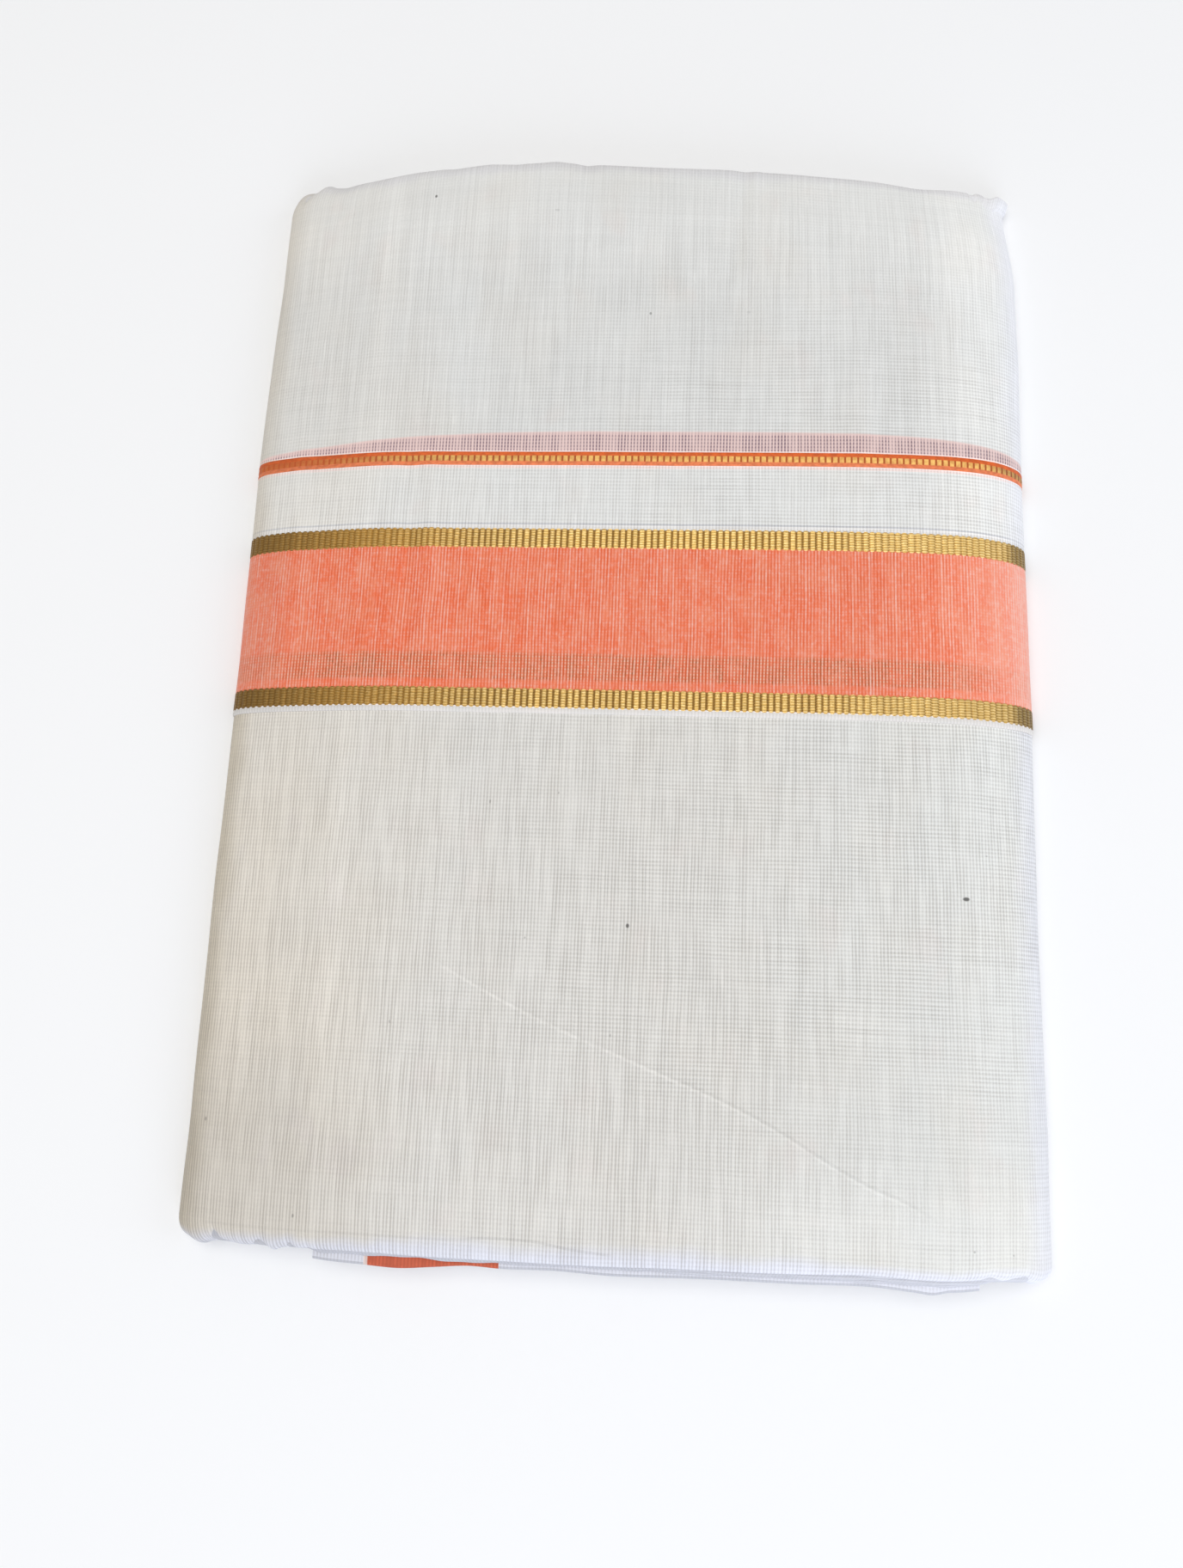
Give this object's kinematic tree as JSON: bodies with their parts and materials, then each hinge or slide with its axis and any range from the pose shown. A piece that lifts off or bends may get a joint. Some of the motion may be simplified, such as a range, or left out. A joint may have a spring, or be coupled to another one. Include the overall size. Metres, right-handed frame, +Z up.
{
  "type": "folded dhoti cloth",
  "caption": "Flat folded packet of plain white cotton cloth with a woven orange and gold border across the top, lying on its underside.",
  "frame": {"origin": "middle of the packet's box, on the surface that it lies on", "axes": "+Z up, +Y from the near folds to the far fold, +X to the right along the woven stripes"},
  "size_m": [0.28, 0.3968, 0.0213],
  "materials": {
    "white_cotton": "matt open plain weave",
    "white_selvedge": "matt dense weave",
    "orange_cotton": "matt plain weave",
    "orange_and_gold": "fine orange lines with a row of gold beads of yarn",
    "zari": "ribbed weave of satin gold-coloured yarn"
  },
  "bodies": {
    "root": {"flap_cloth": "white_cotton", "fine_stripe": "orange_and_gold", "border_cloth": "white_cotton", "far_zari": "zari", "orange_band": "orange_cotton", "near_zari": "zari", "selvedge": "white_selvedge", "near_panel": "white_cotton", "hidden_folds": "white_cotton", "cloth_end_left": "white_cotton", "end_band": "orange_cotton", "cloth_end_right": "white_cotton"}
  },
  "joints": []
}
